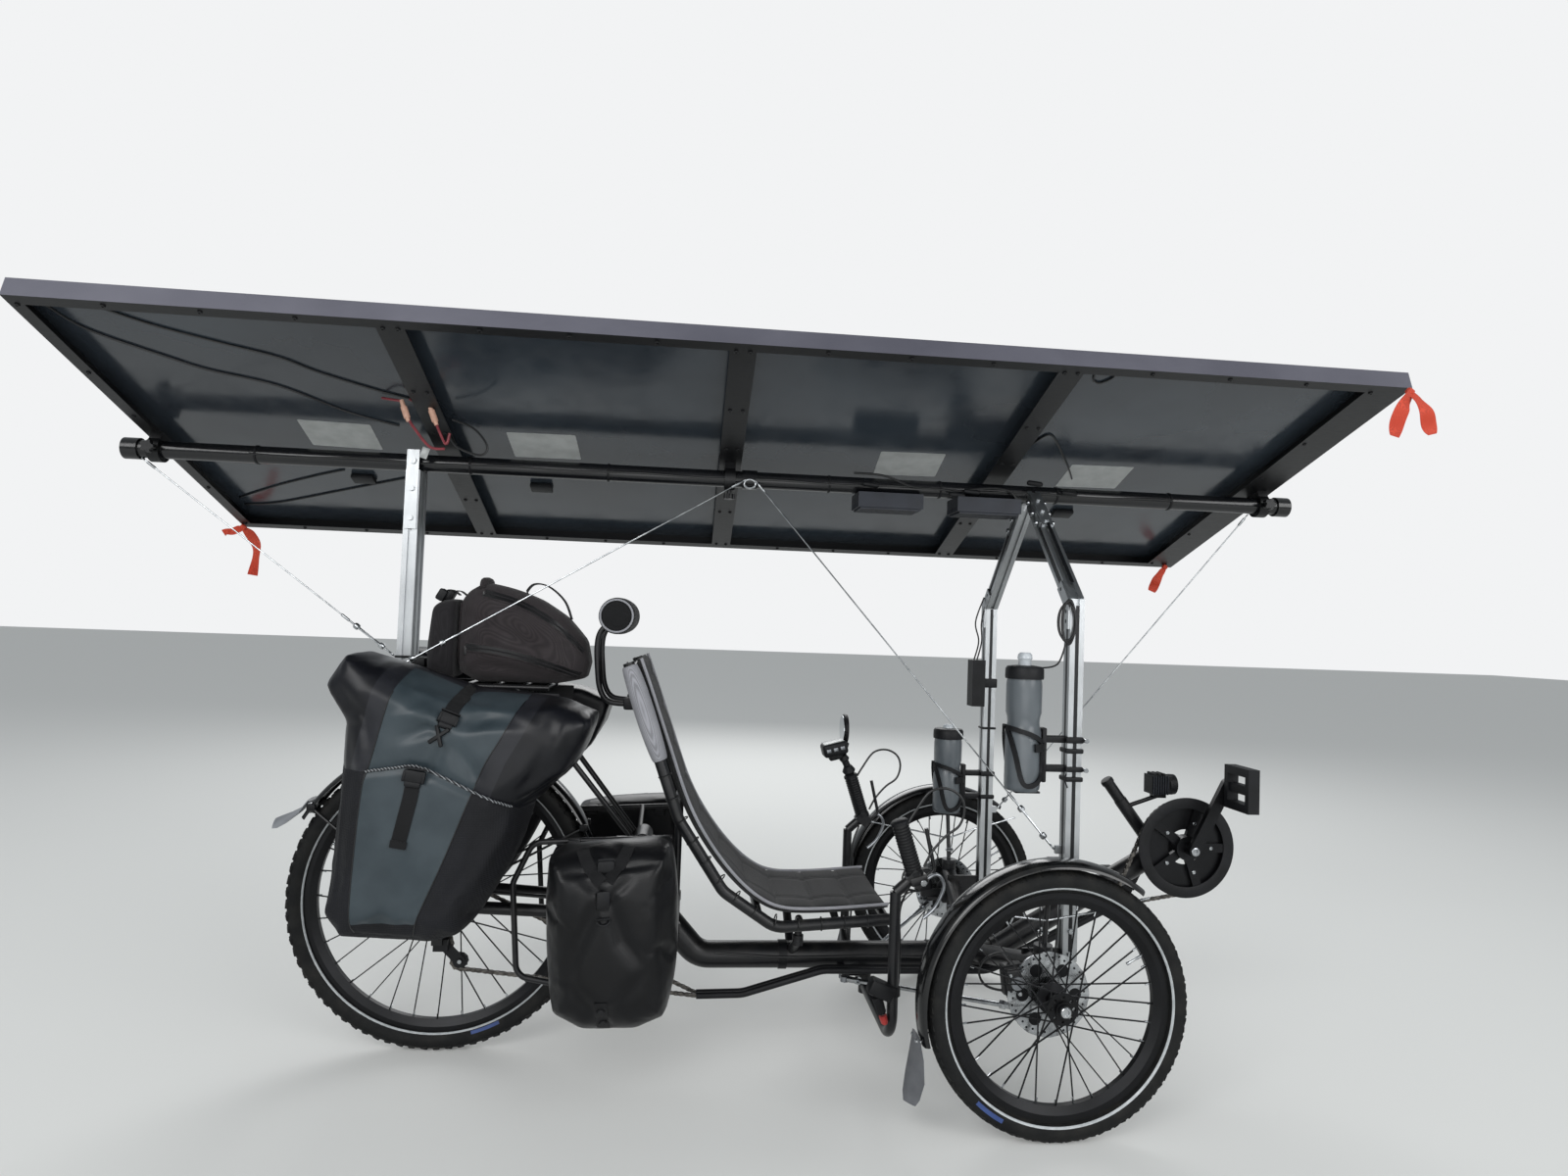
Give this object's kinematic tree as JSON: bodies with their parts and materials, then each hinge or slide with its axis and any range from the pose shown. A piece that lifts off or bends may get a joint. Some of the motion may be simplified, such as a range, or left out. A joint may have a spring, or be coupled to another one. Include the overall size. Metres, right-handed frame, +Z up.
{
  "type": "solar-powered tricycle",
  "caption": "Recumbent tricycle with steered front wheels, sprung rear wheel, seat, luggage bags and a tilting roof of framed solar panels on aluminium masts.",
  "frame": {"origin": "on the floor under the middle of the ridge tube, in the plane halfway between the front wheels", "axes": "+X forward along the ridge tube, +Y to the rider's left, +Z up"},
  "size_m": [2.64, 0.92, 1.4793],
  "materials": {
    "frame_black": "satin powder coat",
    "tyre_rubber": "matt rubber",
    "rim_black": "satin anodised rim, silver spokes",
    "mill_aluminium": "mill finish",
    "bright_steel": "brushed",
    "roof_edge": "dark anodised",
    "laminate": "glossy backsheet and dark cells",
    "ridge_black": "gloss",
    "seat_tube": "satin with light fabric piping",
    "seat_mesh": "woven mesh",
    "bag_slate": "coated fabric",
    "bag_brown": "woven fabric",
    "bag_black": "woven fabric",
    "bottle": "translucent",
    "plastic_black": "fine grain",
    "fender_black": "gloss",
    "controller": "finned casting"
  },
  "bodies": {
    "chassis": {"main_frame": "frame_black", "boom": "frame_black", "swingarm": "frame_black", "shock": "bright_steel", "seat_frame": "seat_tube", "seat_mesh": "seat_mesh", "headrest": "bag_black", "rear_rack": "frame_black", "side_rack_left": "frame_black", "side_rack_right": "frame_black", "rear_fender": "fender_black", "ridge_tube": "ridge_black", "rear_mast": "mill_aluminium", "mast_left": "mill_aluminium", "mast_right": "mill_aluminium", "stays": "bright_steel", "controllers": "controller", "bottle_left": "bottle", "bottle_right": "bottle", "bottle_cage_left": "plastic_black", "bottle_cage_right": "plastic_black", "mast_box": "plastic_black", "headlight": "plastic_black", "chain_tubes": "plastic_black", "chain": "bright_steel", "derailleur": "plastic_black", "pannier_left": "bag_slate", "pannier_right": "bag_slate", "pannier_small_left": "bag_black", "pannier_small_right": "bag_black", "trunk_bag": "bag_brown"},
    "roof": {"roof_frame": "roof_edge", "solar_panels": "laminate"},
    "steering_bar": {"handlebar": "frame_black", "cockpit": "plastic_black"},
    "front_knuckle_right": {"knuckle_right": "mill_aluminium", "fender_front_right": "fender_black"},
    "front_knuckle_left": {"knuckle_left": "mill_aluminium", "fender_front_left": "fender_black"},
    "link_right": {"tie_rod_right": "bright_steel"},
    "link_left": {"tie_rod_left": "bright_steel"},
    "front_wheel_right": {"tyre_front_right": "tyre_rubber", "wheel_front_right": "rim_black"},
    "front_wheel_left": {"tyre_front_left": "tyre_rubber", "wheel_front_left": "rim_black"},
    "rear_wheel": {"tyre_rear": "tyre_rubber", "wheel_rear": "rim_black", "cassette": "bright_steel"},
    "cranks": {"crankset": "mill_aluminium"},
    "pedal_body_right": {"pedal_right": "plastic_black"},
    "pedal_body_left": {"pedal_left": "plastic_black"}
  },
  "joints": [
    {"name": "steering", "type": "hinge", "parent": "chassis", "child": "steering_bar", "pos_m": [0.321, 0, 0.15], "axis": [0, 0, 1], "range_deg": [-25, 25]},
    {"name": "kingpin_right", "type": "hinge", "parent": "chassis", "child": "front_knuckle_right", "pos_m": [0.606, -0.33, 0.29], "axis": [0, 0, 1], "range_deg": [-25, 25]},
    {"name": "kingpin_left", "type": "hinge", "parent": "chassis", "child": "front_knuckle_left", "pos_m": [0.606, 0.33, 0.29], "axis": [0, 0, 1], "range_deg": [-25, 25]},
    {"name": "tie_rod_pivot_right", "type": "hinge", "parent": "steering_bar", "child": "link_right", "pos_m": [0.273, -0.011, 0.149], "axis": [0, 0, 1], "range_deg": [-25, 25]},
    {"name": "tie_rod_pivot_left", "type": "hinge", "parent": "steering_bar", "child": "link_left", "pos_m": [0.273, 0.011, 0.149], "axis": [0, 0, 1], "range_deg": [-25, 25]},
    {"name": "wheel_spin_front_right", "type": "hinge", "parent": "front_knuckle_right", "child": "front_wheel_right", "pos_m": [0.606, -0.405, 0.25], "axis": [0, 1, 0], "continuous": true},
    {"name": "wheel_spin_front_left", "type": "hinge", "parent": "front_knuckle_left", "child": "front_wheel_left", "pos_m": [0.606, 0.405, 0.25], "axis": [0, 1, 0], "continuous": true},
    {"name": "wheel_spin_rear", "type": "hinge", "parent": "chassis", "child": "rear_wheel", "pos_m": [-0.614, 0, 0.325], "axis": [0, 1, 0], "continuous": true},
    {"name": "crank_spin", "type": "hinge", "parent": "chassis", "child": "cranks", "pos_m": [1.05, 0, 0.461], "axis": [0, 1, 0], "continuous": true},
    {"name": "pedal_spin_right", "type": "hinge", "parent": "cranks", "child": "pedal_body_right", "pos_m": [1.12718, -0.146, 0.61247], "axis": [0, 1, 0], "continuous": true},
    {"name": "pedal_spin_left", "type": "hinge", "parent": "cranks", "child": "pedal_body_left", "pos_m": [0.97282, 0.146, 0.30953], "axis": [0, 1, 0], "continuous": true},
    {"name": "roof_tilt", "type": "hinge", "parent": "chassis", "child": "roof", "pos_m": [0, 0, 1.267], "axis": [1, 0, 0], "range_deg": [-6.7, 43.3]}
  ],
  "couplings": [
    {"joint": "kingpin_right", "follows": "steering", "ratio": 1},
    {"joint": "kingpin_left", "follows": "steering", "ratio": 1},
    {"joint": "tie_rod_pivot_right", "follows": "steering", "ratio": -1},
    {"joint": "tie_rod_pivot_left", "follows": "steering", "ratio": -1}
  ]
}
